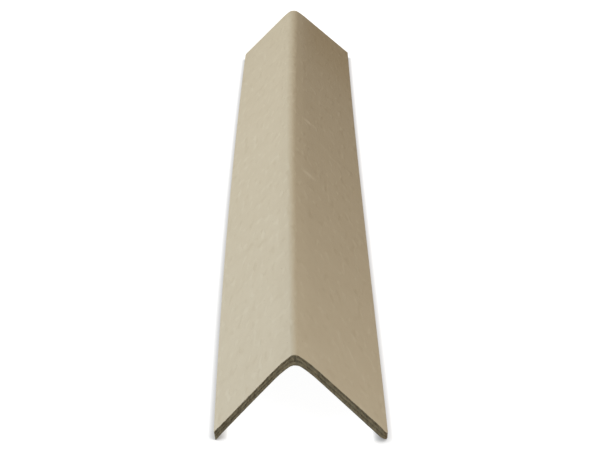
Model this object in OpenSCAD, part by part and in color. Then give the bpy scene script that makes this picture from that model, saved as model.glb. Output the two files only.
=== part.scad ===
// Pallet edge protector: a stack of paperboard plies, glued flat and folded once into an angle.
// It stands on the free edges of its two legs, with the fold on top and its length along Y.
// The origin is midway along its length, midway across its width and level with the feet.

/* [Board] */
// Length of the protector, along the edge that it guards
board_length = 610; // [100:5:2400]
// Width of the left leg's outer face, from the corner where the two outer faces would meet
left_leg = 49; // [35:0.5:90]
// Width of the right leg's outer face, from the same corner
right_leg = 52.5; // [35:0.5:90]
// Thickness of the glued stack of plies
wall = 3.05; // [2:0.05:5.7]
// Angle between the two legs
opening_angle = 92; // [86:0.5:98]

/* [Fold] */
// Radius of the tight bend on the outside of the fold
outer_bend_radius = 3; // [1:0.25:5]
// Radius of the tight bend on the inside of the fold
inner_bend_radius = 4.5; // [1:0.25:6]
// Distance from the corner at which a leg starts to lean into the fold
shoulder_reach = 9; // [7:0.5:16]
// Angle by which each leg leans over before the tight bend
shoulder_turn = 8; // [3:0.5:12]
// Radius of the soft curve that leads each leg into its lean
shoulder_radius = 50; // [15:1:55]

/* [Free edges] */
// Number of plies in the stack
ply_count = 8; // [4:1:14]
// How far the innermost ply runs past the outermost one, since all were cut to one width before folding
ply_setback = 2.2; // [0.5:0.1:4]

/* [Hidden] */
$fn = 180;

board_colour = [0.76, 0.71, 0.62];
LEFT = -1;
RIGHT = 1;
half_angle = opening_angle / 2;
ply = wall / ply_count;

// Each round stands a hair proud of the flats beside it, so that both meet in one clean line
round_proud = 0.0002;
// The most of a lean that its two rounds may take up
rounded_share = 0.96;
// An arc's cap reaches from inside its chord to well outside the circle, as shares of the radius
cap_inner_share = 0.9;
cap_outer_share = 2;

// The section is laid out with the outer faces' corner at [0, 0] and the fold's middle line upright
function leg_width(side) = side == LEFT ? left_leg : right_leg;
function along(side) = [side * sin(half_angle), -cos(half_angle)];
function inward(side) = [-side * cos(half_angle), -sin(half_angle)];

// Each ply's edge is cut square, and each ply runs a little further than the one outside it
function ply_width(side, i) = leg_width(side) + ply_setback * i / (ply_count - 1);
function ply_edge(side, i, depth) = along(side) * ply_width(side, i) + inward(side) * depth;
function outer_tip(side) = ply_edge(side, 0, 0);
function inner_tip(side) = ply_edge(side, ply_count - 1, wall);

// The innermost edge runs on past its face, into the space that is taken out below
function ply_steps(side) = [
    for (i = [0 : ply_count - 1])
        let (last = i == ply_count - 1)
        for (depth = [i * ply, last ? 2 * wall : (i + 1) * ply])
            ply_edge(side, i, depth)
];

function reversed(list) = [for (i = [len(list) - 1 : -1 : 0]) list[i]];
function unit(v) = v / norm(v);
function turned(p, angle) = [p.x * cos(angle) - p.y * sin(angle), p.x * sin(angle) + p.y * cos(angle)];

// The three corners of a fold: both legs lean over at a shoulder, and the leans meet at the ridge
function shoulder(corner, side) = corner + along(side) * shoulder_reach;
function ridge(corner) =
    corner - [0, shoulder_reach * sin(shoulder_turn) / sin(half_angle + shoulder_turn)];
function lean_length() = shoulder_reach * sin(half_angle) / sin(half_angle + shoulder_turn);

// A rounded corner is given by its point, the points on both sides of it, and its radius
function half_corner(before, at, after) = acos(unit(before - at) * unit(after - at)) / 2;
function tangent_length(before, at, after, radius) = radius / tan(half_corner(before, at, after));
function arc_centre(before, at, after, radius) =
    at + unit(unit(before - at) + unit(after - at)) * radius / sin(half_corner(before, at, after));
function arc_ends(before, at, after, radius) =
    let (reach = tangent_length(before, at, after, radius))
    [at + unit(before - at) * reach, at + unit(after - at) * reach];

// The soft curve takes no more of the lean than the tight bend leaves it
function soft_radius(bend_radius) =
    let (room = lean_length() * rounded_share - bend_radius / tan(half_angle + shoulder_turn))
    min(shoulder_radius, room / tan(shoulder_turn / 2));

// The region beneath a fold whose legs end in the given lists of points
module folded_region(corner, bend_radius, right_points, left_points) {
    points = [
        right_points[0],
        shoulder(corner, RIGHT),
        ridge(corner),
        shoulder(corner, LEFT),
        left_points[0]
    ];
    radii = [soft_radius(bend_radius), bend_radius, soft_radius(bend_radius)];
    ends = [for (i = [0 : 2]) arc_ends(points[i], points[i + 1], points[i + 2], radii[i])];
    polygon(concat(reversed(right_points), [for (pair = ends) each pair], left_points));
    for (i = [0 : 2])
        arc_cap(arc_centre(points[i], points[i + 1], points[i + 2], radii[i]), ends[i], radii[i]);
}

// The part of a round outside the chord between its two ends, run on a little under the flats
module arc_cap(centre, ends, radius) {
    margin = 2 * acos(radius / (radius + round_proud));
    spokes = [turned(ends[0] - centre, -margin), turned(ends[1] - centre, margin)];
    intersection() {
        translate(centre) circle(r = radius + round_proud);
        polygon([
            centre + spokes[0] * cap_inner_share,
            centre + spokes[0] * cap_outer_share,
            centre + spokes[1] * cap_outer_share,
            centre + spokes[1] * cap_inner_share
        ]);
    }
}

// The space between the legs runs past their tips, so that it opens the section at the bottom
module space_between_legs() {
    corner = [0, -wall / sin(half_angle)];
    function past_tip(side) = inner_tip(side) + along(side) * 3 * wall;
    folded_region(corner, inner_bend_radius, [past_tip(RIGHT)], [past_tip(LEFT)]);
}

module section() {
    difference() {
        folded_region([0, 0], outer_bend_radius, ply_steps(RIGHT), ply_steps(LEFT));
        space_between_legs();
    }
}

// Legs of unequal width tilt the fold until both inner tips are level
feet = inner_tip(RIGHT) - inner_tip(LEFT);
tilt = -atan2(feet.y, feet.x);
standing_tips = [
    for (side = [LEFT, RIGHT])
        for (tip = [outer_tip(side), inner_tip(side)])
            turned(tip, tilt)
];
tip_x = [for (tip = standing_tips) tip.x];
floor_z = min([for (tip = standing_tips) tip.y]);
middle_x = (min(tip_x) + max(tip_x)) / 2;

module angle_board() {
    color(board_colour)
        rotate([90, 0, 0])
            linear_extrude(height = board_length, center = true)
                translate([-middle_x, -floor_z])
                    rotate(tilt)
                        section();
}

angle_board();
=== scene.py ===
"""A laminated paperboard edge protector, seen along its fold on a white studio floor."""

import math
from typing import NamedTuple

import bpy
import numpy as np
from mathutils import Matrix, Vector


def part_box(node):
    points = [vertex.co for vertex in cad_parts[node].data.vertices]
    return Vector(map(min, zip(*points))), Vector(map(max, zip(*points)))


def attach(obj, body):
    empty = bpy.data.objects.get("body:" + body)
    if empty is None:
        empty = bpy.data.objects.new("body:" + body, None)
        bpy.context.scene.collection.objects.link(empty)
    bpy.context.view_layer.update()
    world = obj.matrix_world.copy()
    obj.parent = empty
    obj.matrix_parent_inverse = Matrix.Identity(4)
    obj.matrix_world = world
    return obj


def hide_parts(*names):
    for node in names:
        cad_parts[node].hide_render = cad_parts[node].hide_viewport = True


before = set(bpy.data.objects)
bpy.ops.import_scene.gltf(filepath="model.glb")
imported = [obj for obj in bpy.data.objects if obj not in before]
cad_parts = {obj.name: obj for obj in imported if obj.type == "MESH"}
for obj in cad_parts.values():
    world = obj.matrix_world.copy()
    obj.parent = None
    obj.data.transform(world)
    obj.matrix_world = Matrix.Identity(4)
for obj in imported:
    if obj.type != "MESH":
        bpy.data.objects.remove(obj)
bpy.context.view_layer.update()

# Sizes of the board, in metres, as in the part's source

MM = 0.001
LEFT, RIGHT = -1, 1
LEG = {LEFT: 49.0 * MM, RIGHT: 52.5 * MM}
WALL = 3.05 * MM
PLY_COUNT = 8
PLY = WALL / PLY_COUNT
PLY_SETBACK = 2.2 * MM
OUTER_BEND_RADIUS = 3.0 * MM
INNER_BEND_RADIUS = 4.5 * MM
SHOULDER_REACH = 9.0 * MM
SHOULDER_TURN = math.radians(8)
SHOULDER_RADIUS = 50.0 * MM

BOARD_LOW, BOARD_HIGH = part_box("angle_board")
BOARD_LENGTH = BOARD_HIGH.y - BOARD_LOW.y

# The folded board isn't quite true: pinched at its near end, rounder at its far end, and bowed to the left

NEAR_OPENING = math.radians(88.6)
OPENING_GAIN = math.radians(4.95)
OPENING_REACH = 214 * MM
FOLD_NEAR = -1.6 * MM
FOLD_FAR = -1.85 * MM
FOLD_BOW = 1.3 * MM
BEND_GAIN = 3 * MM
TURN_LOSS = math.radians(3.5)
DENT_Y = 107 * MM
DENT_SIZE = 8 * MM
DENT_DEPTH = 0.25 * MM


class Wave(NamedTuple):
    """A slow wave: radians per metre along and across, where it starts, and its share of the depth."""

    along: float
    across: float
    start: float
    share: float


WAVE_DEPTH = 0.04 * MM
WAVES = (Wave(37, 60, 0.4, 1), Wave(71, -85, 2.1, 0.7), Wave(128, 45, 4.0, 0.5))

# Both ends were cut out of square, most of all on the right leg, where the near end's plies have spread

CUT_BACK = 0.75 * MM
NEAR_CUT_SKEW = {LEFT: 0.01, RIGHT: 0.071}
FAR_CUT_SKEW = {LEFT: 0.0, RIGHT: 0.075}
WORN_CORNER = 3.2 * MM
SWELL = 0.13
SWELL_FULL_AT = 40 * MM
LEFT_SWELL_SHARE = -0.5
SWELL_REACH = 25 * MM
SWELL_TIP = 4 * MM
TIP_CRUSH = 0.32

# The cut plies, at the board's ends and along its free edges

PLY_EDGE_ROUND = 0.05 * MM
LINER_EDGE_ROUND = 0.12 * MM
SAW_ROUGHNESS = 0.07 * MM
SAW_STEP = 1.2 * MM
SAW_PHASE = 2.4
GROOVE_DEPTH = 0.25 * MM
GROOVE_STEP = 5 * MM
GROOVE_MEAN = 0.7
GROOVE_CHANGE = 0.5
GROOVE_SEED = 40
NEAR_SEED = 11
FAR_SEED = 23

# At the near end of the fold the plies under the liner have cracked, and two have parted beside the crack

CRACKED_PLIES = range(1, 5)
CRACK_AT = 0.5 * MM
CRACK_SLANT = 0.35
CRACK_WIDTH = 0.5 * MM
CRACK_DEPTH = 0.5 * MM
SPLIT_PLY = 3
SPLIT_AT = 2.0 * MM
SPLIT_REACH = 3.5 * MM
SPLIT_GAP = 0.08 * MM
SPLIT_DEPTH = 1.5 * MM

# How finely the mesh is divided, and from which angle its edges look sharp

LEG_STEPS = 56
SHOULDER_STEPS = 10
RIDGE_STEPS = 16
STATION_STEP = 5 * MM
SHARP_ANGLE = math.radians(30)


def bell(x):
    """One at zero, falling smoothly to zero at one and beyond."""
    return (1 - np.clip(np.abs(x), 0, 1) ** 2) ** 2


def wander(places, step, seed):
    """A rough line between minus one and one, the same each time, that turns at every step."""
    knots = np.arange(places.min(), places.max() + 2 * step, step)
    heights = np.random.default_rng(seed).uniform(-1, 1, len(knots))
    return np.interp(places, knots, heights)


def rounded(before, at, after, radius, steps):
    """Points along the round of a corner, from one tangent point to the other."""
    one, other = ((p - at) / np.linalg.norm(p - at) for p in (before, after))
    half = math.acos(float(one @ other)) / 2
    middle = (one + other) / np.linalg.norm(one + other)
    centre = at + middle * radius / math.sin(half)
    start, end = (at + d * radius / math.tan(half) - centre for d in (one, other))
    first = math.atan2(start[1], start[0])
    swing = math.atan2(start[0] * end[1] - start[1] * end[0], float(start @ end))
    angles = first + swing * np.linspace(0, 1, steps + 1)
    return centre + radius * np.column_stack([np.cos(angles), np.sin(angles)])


class Section:
    """The board's section at one place along its length, as points of the plane X, Z."""

    def __init__(self, opening, fold_x, roundness):
        self.half = opening / 2
        self.turn_over = SHOULDER_TURN - TURN_LOSS * roundness
        sin, cos = math.sin(self.half), math.cos(self.half)
        self.along = {side: np.array([side * sin, -cos]) for side in (LEFT, RIGHT)}
        self.inward = {side: np.array([-side * cos, -sin]) for side in (LEFT, RIGHT)}
        self.outer_fold = self.fold_line(0, OUTER_BEND_RADIUS + BEND_GAIN * roundness)
        self.inner_fold = self.fold_line(WALL, INNER_BEND_RADIUS + BEND_GAIN * roundness)
        self.stand(fold_x)

    def fold_line(self, depth, bend_radius):
        """The curved middle of a face at that depth, from the left shoulder to the right one."""
        corner = np.array([0, -depth / math.sin(self.half)])
        drop = SHOULDER_REACH * math.sin(self.turn_over) / math.sin(self.half + self.turn_over)
        ridge = corner - [0, drop]
        left, right = (corner + self.along[side] * SHOULDER_REACH for side in (LEFT, RIGHT))
        left_end, right_end = (corner + self.along[side] * LEG[side] for side in (LEFT, RIGHT))
        return np.vstack([
            rounded(left_end, left, ridge, SHOULDER_RADIUS, SHOULDER_STEPS),
            rounded(left, ridge, right, bend_radius, RIDGE_STEPS),
            rounded(ridge, right, right_end, SHOULDER_RADIUS, SHOULDER_STEPS),
        ])

    def tip(self, side, depth, reach):
        """A leg's end at that depth, for a ply that reaches that much past the outermost one."""
        return self.along[side] * (LEG[side] + reach) + self.inward[side] * depth

    def stand(self, fold_x):
        """Finds the turn and the shift that set both inner tips on the floor."""
        left, right = (self.tip(side, WALL, PLY_SETBACK) for side in (LEFT, RIGHT))
        across, rise = right - left
        lean = -math.atan2(rise, across)
        self.turn = np.array([[math.cos(lean), -math.sin(lean)], [math.sin(lean), math.cos(lean)]])
        self.shift = np.array([fold_x, -(self.turn @ left)[1]])

    def row(self, depth, reach):
        """The line through the board at that depth, from the left tip to the right tip."""
        share = depth / WALL
        fold = self.outer_fold * (1 - share) + self.inner_fold * share
        steps = np.linspace(0, 1, LEG_STEPS, endpoint=False)[:, None]
        left_tip, right_tip = (self.tip(side, depth, reach) for side in (LEFT, RIGHT))
        left_leg = left_tip + (fold[0] - left_tip) * steps
        right_leg = right_tip + (fold[-1] - right_tip) * steps
        return np.vstack([left_leg, fold, right_leg[::-1]]) @ self.turn.T + self.shift


def section_at(distance):
    """The section at a distance from the near end."""
    opening = NEAR_OPENING + OPENING_GAIN * math.tanh(distance / OPENING_REACH)
    share = distance / BOARD_LENGTH
    fold_x = FOLD_NEAR + (FOLD_FAR - FOLD_NEAR) * share - FOLD_BOW * 4 * share * (1 - share)
    return Section(opening, fold_x, share)


class Row(NamedTuple):
    """One line of points through the board, from tip to tip."""

    depth: float
    reach: float
    ply: int
    groove: bool


def ply_rows():
    """Two rows for each ply, with a groove after it, and one more to round off each liner's edge."""
    rows = []
    for ply in range(PLY_COUNT):
        reach = PLY_SETBACK * ply / (PLY_COUNT - 1)
        top, bottom = ply * PLY, (ply + 1) * PLY
        first, last = ply == 0, ply == PLY_COUNT - 1
        round_above = PLY_EDGE_ROUND * (2 if first else 1)
        round_below = PLY_EDGE_ROUND * (2 if last else 1)
        depths = [top] * first + [top + round_above, bottom - round_below] + [bottom] * last
        rows += [Row(depth, reach, ply, False) for depth in depths]
        if not last:
            rows.append(Row(bottom, reach - PLY_EDGE_ROUND, ply, True))
    return rows


ROWS = ply_rows()
DEPTHS = np.array([row.depth for row in ROWS])


def places_across():
    """Each column's place across the outer face, in metres from the middle of the fold."""
    line = section_at(BOARD_LENGTH / 2).row(0, 0)
    steps = np.linalg.norm(np.diff(line, axis=0), axis=1)
    places = np.concatenate([[0], np.cumsum(steps)])
    return places - places[len(places) // 2]


def leg_share(across):
    """How far along its leg each place is, from zero at the fold to one at the tip."""
    return np.where(across < 0, across / across[0], across / across[-1])


def surface_shift(distance, across):
    """How far the sheet lies inside its ideal surface: slow waves and one dent on the fold."""
    y = distance[:, None]
    waves = sum(w.share * np.sin(w.along * y + w.across * across + w.start) for w in WAVES)
    waves *= WAVE_DEPTH * bell(leg_share(across))
    dent_distance = DENT_Y - BOARD_LOW.y
    return waves + DENT_DEPTH * bell((y - dent_distance) / DENT_SIZE) * bell(across / DENT_SIZE)


def swelling(distance, across):
    """By what share the stack is thicker than usual, toward the near end, and thinner at its right tip."""
    amount = SWELL * np.clip(across / SWELL_FULL_AT, LEFT_SWELL_SHARE, 1)
    edge = np.minimum(across - across[0], across[-1] - across)
    inside = np.clip(edge / SWELL_TIP, 0, 1)
    crush = np.where(across > 0, TIP_CRUSH, 0) * (1 - inside)
    fade = np.exp(-distance / SWELL_REACH)
    return fade[:, None] * (amount * inside - crush)


def cut_relief(across, seed):
    """How far each point of a cut end is set back: rough plies, grooves between them, rounded liners."""
    relief = np.empty((len(ROWS), len(across)))
    for number, row in enumerate(ROWS):
        relief[number] = SAW_ROUGHNESS * wander(across, SAW_STEP, seed + row.ply)
        relief[number] += SAW_ROUGHNESS * math.sin(seed + SAW_PHASE * row.ply)
        if row.groove:
            change = GROOVE_CHANGE * wander(across, GROOVE_STEP, seed + GROOVE_SEED + row.ply)
            relief[number] += GROOVE_DEPTH * (GROOVE_MEAN + change)
    relief[[0, -1]] += LINER_EDGE_ROUND
    return relief


def skewed(across, skew):
    """How far a cut end reaches past a square one."""
    return np.where(across < 0, -skew[LEFT], skew[RIGHT]) * across


def corner_wear(across):
    """How far the near end's right corner is worn back, on a round."""
    from_tip = np.clip((across[-1] - across) / WORN_CORNER, 0, 1)
    return WORN_CORNER * (1 - np.sqrt(1 - (1 - from_tip) ** 2))


def fold_damage(across):
    """The near end's crack, as a set-back, and the gap where two plies part, as a shift in depth."""
    set_back = np.zeros((len(ROWS), len(across)))
    for number, row in enumerate(ROWS):
        if row.ply in CRACKED_PLIES:
            place = CRACK_AT - CRACK_SLANT * row.depth
            set_back[number] = CRACK_DEPTH * bell((across - place) / CRACK_WIDTH)
    open_share = bell((across - SPLIT_AT) / SPLIT_REACH)
    groove = next(number for number, row in enumerate(ROWS) if row.groove and row.ply == SPLIT_PLY)
    set_back[groove] += SPLIT_DEPTH * open_share
    parting = np.zeros_like(set_back)
    parting[groove - 1] = -SPLIT_GAP * open_share
    parting[groove + 1] = SPLIT_GAP * open_share
    return set_back, parting


def crosswise(distance, across, parting):
    """Each point's place in the plane X, Z: the ideal sections, shifted through the wall."""
    sections = [section_at(d) for d in distance]
    lines = np.array([[section.row(row.depth, row.reach) for row in ROWS] for section in sections])
    through = (lines[:, -1] - lines[:, 0]) / WALL
    from_middle = DEPTHS[:, None] - WALL / 2
    swell = swelling(distance, across)[:, None, :]
    shift = surface_shift(distance, across)[:, None, :] + swell * from_middle
    shift[0] += parting
    return lines + shift[..., None] * through[:, None]


def lengthwise(distance, across, set_back):
    """Each point's place along the board, between its two cut ends."""
    near = BOARD_LOW.y + CUT_BACK - skewed(across, NEAR_CUT_SKEW) + corner_wear(across)
    far = BOARD_HIGH.y + skewed(across, FAR_CUT_SKEW)
    share = (distance / BOARD_LENGTH)[:, None]
    along = near * (1 - share) + far * share
    along = np.repeat(along[:, None, :], len(ROWS), axis=1)
    along[0] += cut_relief(across, NEAR_SEED) + set_back
    along[-1] -= cut_relief(across, FAR_SEED)
    return along


def board_points():
    """All points by station, row and column, and each point's place across, along and in the stack."""
    distance = np.linspace(0, BOARD_LENGTH, round(BOARD_LENGTH / STATION_STEP) + 1)
    across = places_across()
    set_back, parting = fold_damage(across)
    lines = crosswise(distance, across, parting)
    along = lengthwise(distance, across, set_back)
    points = np.stack([lines[..., 0], along, lines[..., 1]], axis=-1)
    sheet = np.stack(np.broadcast_arrays(across, along, DEPTHS[:, None]), axis=-1)
    return points, sheet


def quads(numbers):
    """The faces between neighbours in a grid of vertex numbers."""
    corners = numbers[:-1, :-1], numbers[:-1, 1:], numbers[1:, 1:], numbers[1:, :-1]
    return np.stack(corners, axis=-1).reshape(-1, 4)


def board_mesh():
    """The board as one closed mesh: its outer and inner face, two stepped free edges and two cut ends."""
    points, sheet = board_points()
    used = np.zeros(points.shape[:3], bool)
    used[[0, -1]] = used[:, [0, -1]] = used[:, :, [0, -1]] = True
    numbers = np.full(used.shape, -1)
    numbers[used] = np.arange(used.sum())

    outside = [quads(numbers[:, 0]), quads(numbers[:, -1])[:, ::-1]]
    free_edges = [quads(numbers[:, :, 0])[:, ::-1], quads(numbers[:, :, -1])]
    ends = [quads(numbers[0])[:, ::-1], quads(numbers[-1])]
    liner_faces = np.vstack(outside)
    ply_faces = np.vstack(free_edges + ends)

    mesh = bpy.data.meshes.new("board")
    mesh.from_pydata(points[used], [], np.vstack([liner_faces, ply_faces]))
    mesh.polygons.foreach_set("material_index", [0] * len(liner_faces) + [1] * len(ply_faces))
    mesh.polygons.foreach_set("use_smooth", [True] * len(mesh.polygons))
    mesh.set_sharp_from_angle(angle=SHARP_ANGLE)
    place = mesh.attributes.new("sheet", "FLOAT_VECTOR", "POINT")
    place.data.foreach_set("vector", sheet[used].astype(np.float32).ravel())
    return mesh


def make_board():
    """The board with its two materials, in place of the plain solid."""
    mesh = board_mesh()
    mesh.materials.append(make_liner())
    mesh.materials.append(make_ply_edges())
    board = bpy.data.objects.new("board", mesh)
    bpy.context.collection.objects.link(board)
    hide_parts("angle_board")
    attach(board, "root")


# Materials, painted by each point's place in the flat sheet

NOISE_RANGE = (0.3, 0.7)


def srgb(red, green, blue):
    """A colour as a screen shows it, in linear light."""
    values = (v / 255 for v in (red, green, blue))
    return (*(v / 12.92 if v <= 0.04045 else ((v + 0.055) / 1.055) ** 2.4 for v in values), 1)


def new_material(name):
    """A material with its node tree and its shader."""
    material = bpy.data.materials.new(name)
    material.use_nodes = True
    return material, material.node_tree, material.node_tree.nodes["Principled BSDF"]


def put(tree, socket, value):
    """Links a socket to an output, or sets it to a plain value."""
    if isinstance(value, bpy.types.NodeSocket):
        tree.links.new(value, socket)
    else:
        socket.default_value = value


def calculate(tree, operation, *values):
    """The result of an operation on outputs and plain values."""
    node = tree.nodes.new("ShaderNodeMath")
    node.operation = operation
    for socket, value in zip(node.inputs, values):
        put(tree, socket, value)
    return node.outputs[0]


def weighted_sum(tree, *parts):
    """The sum of outputs that vary about a half, each times its weight, varying about a half itself."""
    total = 0.5 - sum(weight for _, weight in parts) / 2
    for output, weight in parts:
        total = calculate(tree, "MULTIPLY_ADD", output, weight, total)
    return total


def ranged(tree, value, low, high, new_low=0.0, new_high=1.0):
    """Maps a range of values smoothly onto another one."""
    node = tree.nodes.new("ShaderNodeMapRange")
    node.interpolation_type = "SMOOTHSTEP"
    limits = {"From Min": low, "From Max": high, "To Min": new_low, "To Max": new_high}
    for name, limit in limits.items():
        node.inputs[name].default_value = limit
    put(tree, node.inputs["Value"], value)
    return node.outputs["Result"]


def between(tree, factor, first, second):
    """A colour between two colours."""
    node = tree.nodes.new("ShaderNodeMix")
    node.data_type = "RGBA"
    put(tree, node.inputs["Factor"], factor)
    put(tree, node.inputs["A"], first)
    put(tree, node.inputs["B"], second)
    return node.outputs["Result"]


def sheet_place(tree):
    """Each point's place in the flat sheet: across it, along it and down through it."""
    node = tree.nodes.new("ShaderNodeAttribute")
    node.attribute_name = "sheet"
    return node.outputs["Vector"]


def axes(tree, vector):
    """A vector's three parts, by the name of their axis."""
    node = tree.nodes.new("ShaderNodeSeparateXYZ")
    put(tree, node.inputs[0], vector)
    return node.outputs


def noise(tree, place, size, detail=2.0, stretch=(1, 1, 1), turn=0.0):
    """Cloudy noise with features of about that size, longer along the axes that are stretched."""
    mapping = tree.nodes.new("ShaderNodeMapping")
    mapping.vector_type = "TEXTURE"
    mapping.inputs["Rotation"].default_value = (0, 0, turn)
    mapping.inputs["Scale"].default_value = [size * s for s in stretch]
    put(tree, mapping.inputs["Vector"], place)
    node = tree.nodes.new("ShaderNodeTexNoise")
    node.inputs["Scale"].default_value = 1
    node.inputs["Detail"].default_value = detail
    put(tree, node.inputs["Vector"], mapping.outputs[0])
    return node.outputs["Fac"]


def bump(tree, height, distance):
    """A normal that follows a height, where a height of one stands that distance proud."""
    node = tree.nodes.new("ShaderNodeBump")
    node.inputs["Distance"].default_value = distance
    put(tree, node.inputs["Height"], height)
    return node.outputs["Normal"]


# The liner: uncoated kraft paper with its features drawn out along the board, two scuffs and painted shade
# that darkens the right leg's far end

LINER_DARK = srgb(186, 172, 145)
LINER_LIGHT = srgb(212, 202, 179)
LINER_ROUGHNESS = (0.78, 0.92)
LINER_GLOSS = 0.3
LINER_BUMP = 0.11 * MM
CLOUD_SIZE = 22 * MM
DRAWN_OUT = (1, 2.6, 1)
MOTTLE_SIZE = 3.5 * MM
PIMPLE_SIZE = 3.4 * MM
PIMPLE_RANGE = (0.58, 0.8)
PIT_SIZE = 4.3 * MM
PIT_RANGE = (0.6, 0.82)
FIBRE_WIDTH = 0.45 * MM
FIBRE_STRETCH = (1, 7, 1)
FLECK = srgb(158, 139, 108)
FLECK_SIZE = 0.7 * MM
FLECK_STRETCH = (1, 4, 1)
FLECK_TURN = 0.5
FLECK_RANGE = (0.74, 0.82)
FLECK_STRENGTH = 0.6
FOLD_WIDTH = 6 * MM
WRINKLE_SIZE = 1.6 * MM
WRINKLE_STRETCH = (2, 1, 1)
# Painted shade: a darker, browner paper colour that is blended in toward the far end of the right leg
PAINTED_SHADE = srgb(177, 158, 122)
PAINTED_SHADE_ACROSS = (4 * MM, 22 * MM)
PAINTED_SHADE_ALONG = (130 * MM, 300 * MM)
PAINTED_SHADE_STRENGTH = 0.5
SCUFF = srgb(219, 209, 187)
SCUFFS_AT = ((11.8 * MM, 46 * MM), (11 * MM, -53.5 * MM))
SCUFF_SIZE = (6.5 * MM, 5 * MM, 1 * MM)
SCUFF_STRENGTH = 0.9


def fold_wrinkles(tree, place):
    """Fine wrinkles along the middle of the fold, fading out where the legs are flat."""
    wrinkles = noise(tree, place, WRINKLE_SIZE, 2, WRINKLE_STRETCH)
    from_fold = calculate(tree, "ABSOLUTE", axes(tree, place)["X"])
    return calculate(tree, "MULTIPLY", wrinkles, ranged(tree, from_fold, FOLD_WIDTH / 4, FOLD_WIDTH, 1, 0))


def scuffed(tree, place, at):
    """Near one in a short mark on the outer face, and zero around it."""
    mapping = tree.nodes.new("ShaderNodeMapping")
    mapping.vector_type = "TEXTURE"
    mapping.inputs["Location"].default_value = (*at, 0)
    mapping.inputs["Scale"].default_value = SCUFF_SIZE
    put(tree, mapping.inputs["Vector"], place)
    length = tree.nodes.new("ShaderNodeVectorMath")
    length.operation = "LENGTH"
    put(tree, length.inputs[0], mapping.outputs[0])
    return ranged(tree, length.outputs["Value"], 0, 1, SCUFF_STRENGTH, 0)


def painted_shade_share(tree, place):
    """How much painted shade darkens and browns the paper, toward the far end of the right leg."""
    part = axes(tree, place)
    across = ranged(tree, part["X"], *PAINTED_SHADE_ACROSS)
    along = ranged(tree, part["Y"], *PAINTED_SHADE_ALONG, 0, PAINTED_SHADE_STRENGTH)
    return calculate(tree, "MULTIPLY", across, along)


def liner_colour(tree, place, tone):
    """The paper's colour at that tone, with painted shade at the right leg's far end, flecks and scuffs."""
    paper = between(tree, tone, LINER_DARK, LINER_LIGHT)
    # Painted shade: the paper turns darker and browner toward the far end of the right leg
    paper = between(tree, painted_shade_share(tree, place), paper, PAINTED_SHADE)
    flecks = noise(tree, place, FLECK_SIZE, 1, FLECK_STRETCH, FLECK_TURN)
    paper = between(tree, ranged(tree, flecks, *FLECK_RANGE, 0, FLECK_STRENGTH), paper, FLECK)
    for at in SCUFFS_AT:
        paper = between(tree, scuffed(tree, place, at), paper, SCUFF)
    return paper


def make_liner():
    """Uncoated kraft paper: cloudy tone, fibres, small bumps and pits, and wrinkles on the fold."""
    material, tree, shader = new_material("kraft_liner")
    place = sheet_place(tree)
    clouds = noise(tree, place, CLOUD_SIZE)
    mottle = noise(tree, place, MOTTLE_SIZE, 1, DRAWN_OUT)
    fibres = noise(tree, place, FIBRE_WIDTH, 3, FIBRE_STRETCH)
    pimples = ranged(tree, noise(tree, place, PIMPLE_SIZE, 0, DRAWN_OUT), *PIMPLE_RANGE)
    pits = ranged(tree, noise(tree, place, PIT_SIZE, 0, DRAWN_OUT), *PIT_RANGE, 1, 0)
    marks = (pimples, 0.15), (pits, 0.15)
    tone = weighted_sum(tree, (clouds, 0.25), (mottle, 0.37), (fibres, 0.13), *marks)
    put(tree, shader.inputs["Base Color"], liner_colour(tree, place, tone))
    put(tree, shader.inputs["Roughness"], ranged(tree, mottle, *NOISE_RANGE, *LINER_ROUGHNESS))
    shader.inputs["Specular IOR Level"].default_value = LINER_GLOSS

    grain = weighted_sum(tree, (fibres, 0.3), (mottle, 0.7))
    wrinkles = fold_wrinkles(tree, place)
    height = weighted_sum(tree, (pimples, 1), (pits, 1), (grain, 0.2), (wrinkles, 0.8))
    put(tree, shader.inputs["Normal"], bump(tree, height, LINER_BUMP))
    return material


# The cut plies' edges, with torn fibres and glue

PLY_DARK = srgb(84, 73, 53)
PLY_LIGHT = srgb(154, 141, 113)
PLY_ROUGHNESS = (0.88, 1.0)
PLY_GLOSS = 0.2
PLY_BUMP = 0.15 * MM
TORN_FIBRE_WIDTH = 0.12 * MM
TORN_FIBRE_STRETCH = (14, 14, 1)
BLOTCH_SIZE = 1.6 * MM
GLUE = srgb(75, 64, 45)
GLUE_RANGE = (0.36, 0.5)
GLUE_STRENGTH = 0.7


def ply_tone(tree, plies_in):
    """A tone of its own for each ply."""
    node = tree.nodes.new("ShaderNodeTexWhiteNoise")
    node.noise_dimensions = "1D"
    put(tree, node.inputs["W"], calculate(tree, "FLOOR", plies_in))
    return node.outputs["Value"]


def glued(tree, plies_in):
    """Most where two plies meet, and zero in the middle of each."""
    within = calculate(tree, "FRACT", plies_in)
    from_middle = calculate(tree, "ABSOLUTE", calculate(tree, "SUBTRACT", within, 0.5))
    return ranged(tree, from_middle, *GLUE_RANGE, 0, GLUE_STRENGTH)


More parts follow.
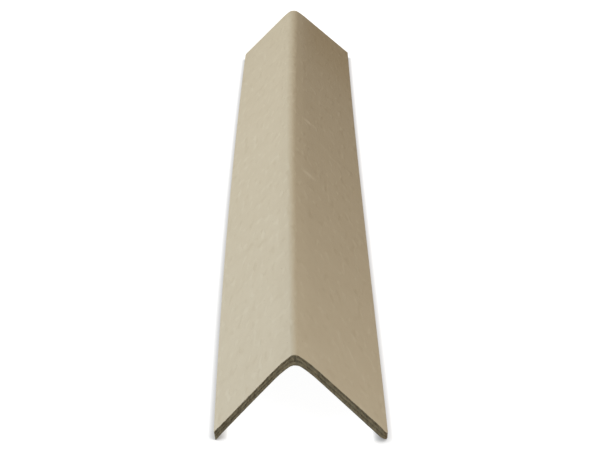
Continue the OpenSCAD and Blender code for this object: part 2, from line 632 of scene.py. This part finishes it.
def make_ply_edges():
    """Cut plies: each has its own tone, with torn fibres along it and a darker line of glue after it."""
    material, tree, shader = new_material("ply_edges")
    place = sheet_place(tree)
    plies_in = calculate(tree, "DIVIDE", axes(tree, place)["Z"], PLY)
    fibres = noise(tree, place, TORN_FIBRE_WIDTH, 3, TORN_FIBRE_STRETCH)
    blotches = noise(tree, place, BLOTCH_SIZE, 2)
    tone = weighted_sum(tree, (ply_tone(tree, plies_in), 0.35), (fibres, 1.1), (blotches, 1.3))
    paper = between(tree, tone, PLY_DARK, PLY_LIGHT)
    put(tree, shader.inputs["Base Color"], between(tree, glued(tree, plies_in), paper, GLUE))
    put(tree, shader.inputs["Roughness"], ranged(tree, fibres, *NOISE_RANGE, *PLY_ROUGHNESS))
    shader.inputs["Specular IOR Level"].default_value = PLY_GLOSS
    height = weighted_sum(tree, (fibres, 0.6), (blotches, 0.4))
    put(tree, shader.inputs["Normal"], bump(tree, height, PLY_BUMP))
    return material


# Studio: a white floor that keeps the board's shadow, a high and a low key, a fill and a warm side light

FLOOR_SIZE = 12
FLOOR_DROP = 0.02 * MM
FLOOR_ALBEDO = 0.35
FLOOR_GLOW = 0.975
CONTACT_REACH = 3.8 * MM
CONTACT_DEPTH = 1.1
SIDE_CONTACT_DEPTH = 0.5
WORLD_LIGHT = (0.03, 0.026, 0.02, 1)
WHITE = (1, 1, 1, 1)


def seen_directly(tree):
    """One where the eye, a reflection or a refraction sees the surface, and zero for all other light."""
    path = tree.nodes.new("ShaderNodeLightPath").outputs
    mirrored = calculate(tree, "MAXIMUM", path["Is Glossy Ray"], path["Is Transmission Ray"])
    return calculate(tree, "MAXIMUM", path["Is Camera Ray"], mirrored)


def openness(tree, depth, direction=None):
    """One on the open floor, and less where the board is close, above it or in that direction."""
    node = tree.nodes.new("ShaderNodeAmbientOcclusion")
    node.inputs["Distance"].default_value = CONTACT_REACH
    if direction is not None:
        put(tree, node.inputs["Normal"], direction)
    return calculate(tree, "POWER", node.outputs["AO"], depth)


def rightwards(tree):
    """The direction along the floor to the right."""
    surface = tree.nodes.new("ShaderNodeNewGeometry")
    node = tree.nodes.new("ShaderNodeVectorMath")
    node.operation = "CROSS_PRODUCT"
    node.inputs[0].default_value = (0, 1, 0)
    put(tree, node.inputs[1], surface.outputs["Normal"])
    return node.outputs[0]


def make_floor_white():
    """Grey paint that takes the lamps' shadows, and a white glow for the eye, dimmer close to the board."""
    material, tree, shader = new_material("floor_white")
    tree.nodes.remove(shader)
    paint = tree.nodes.new("ShaderNodeBsdfDiffuse")
    paint.inputs["Color"].default_value = (FLOOR_ALBEDO, FLOOR_ALBEDO, FLOOR_ALBEDO, 1)
    above = openness(tree, CONTACT_DEPTH)
    aside = openness(tree, SIDE_CONTACT_DEPTH, rightwards(tree))
    strength = calculate(tree, "MULTIPLY", seen_directly(tree), FLOOR_GLOW)
    strength = calculate(tree, "MULTIPLY", calculate(tree, "MULTIPLY", above, aside), strength)
    glow = tree.nodes.new("ShaderNodeEmission")
    put(tree, glow.inputs["Strength"], strength)
    both = tree.nodes.new("ShaderNodeAddShader")
    put(tree, both.inputs[0], paint.outputs[0])
    put(tree, both.inputs[1], glow.outputs[0])
    put(tree, tree.nodes["Material Output"].inputs["Surface"], both.outputs[0])
    return material


def make_floor():
    """A flat floor just below the board's feet."""
    mesh = bpy.data.meshes.new("floor")
    half = FLOOR_SIZE / 2
    corners = [(-half, -half, 0), (half, -half, 0), (half, half, 0), (-half, half, 0)]
    mesh.from_pydata(corners, [], [(0, 1, 2, 3)])
    mesh.materials.append(make_floor_white())
    floor = bpy.data.objects.new("floor", mesh)
    floor.location.z = -FLOOR_DROP
    bpy.context.collection.objects.link(floor)


def make_world():
    """A faint warm light from all sides, which the eye sees as white."""
    world = bpy.data.worlds.new("studio")
    world.use_nodes = True
    tree = world.node_tree
    light = tree.nodes["Background"]
    light.inputs["Color"].default_value = WORLD_LIGHT
    white = tree.nodes.new("ShaderNodeBackground")
    white.inputs["Color"].default_value = WHITE
    mix = tree.nodes.new("ShaderNodeMixShader")
    put(tree, mix.inputs["Fac"], seen_directly(tree))
    put(tree, mix.inputs[1], light.outputs[0])
    put(tree, mix.inputs[2], white.outputs[0])
    put(tree, tree.nodes["World Output"].inputs["Surface"], mix.outputs[0])
    bpy.context.scene.world = world


def area_light(name, place, size, power, colour):
    """A soft light aimed at the middle of the board, with its second side along the board."""
    lamp = bpy.data.lights.new(name, "AREA")
    lamp.shape = "RECTANGLE"
    lamp.size, lamp.size_y = size
    lamp.energy = power
    lamp.color = colour
    light = bpy.data.objects.new(name, lamp)
    light.location = place
    light.rotation_euler = (-Vector(place)).to_track_quat("-Z", "Y").to_euler()
    light.visible_camera = False
    bpy.context.collection.objects.link(light)


def make_lights():
    """Two keys on the left, a small cool fill beside the camera and a warm light on the right."""
    area_light("high_key", place=(-0.86, 0.4, 1.23), size=(0.5, 0.6), power=14.8, colour=(1, 0.98, 0.93))
    area_light("low_key", place=(-1.06, -0.7, 0.3), size=(0.4, 0.4), power=8.9, colour=(0.75, 0.85, 1))
    area_light("fill", place=(0.45, -0.75, 0.25), size=(0.25, 0.25), power=2.32, colour=(0.82, 0.92, 1))
    area_light("warm_side", place=(1.56, -0.9, 0.9), size=(0.5, 0.6), power=9.4, colour=(1, 0.7, 0.4))


# Camera: a long lens that looks down along the board

LENS = 108.6
SENSOR_WIDTH = 36
CAMERA_PLACE = (-1.03 * MM, -968.4 * MM, 333.4 * MM)
CAMERA_PITCH = math.radians(19.91)
CAMERA_YAW = math.radians(-0.16)
CAMERA_ROLL = math.radians(-0.19)


def make_camera():
    """The camera, turned by its heading, its tilt from straight down and its roll."""
    data = bpy.data.cameras.new("camera")
    data.sensor_fit = "HORIZONTAL"
    data.sensor_width = SENSOR_WIDTH
    data.lens = LENS
    camera = bpy.data.objects.new("camera", data)
    heading = Matrix.Rotation(CAMERA_YAW, 4, "Z")
    tilt = Matrix.Rotation(math.pi / 2 - CAMERA_PITCH, 4, "X")
    roll = Matrix.Rotation(CAMERA_ROLL, 4, "Z")
    camera.matrix_world = Matrix.Translation(CAMERA_PLACE) @ heading @ tilt @ roll
    bpy.context.collection.objects.link(camera)
    bpy.context.scene.camera = camera


bpy.context.scene.view_settings.view_transform = "Standard"

make_board()
make_floor()
make_world()
make_lights()
make_camera()
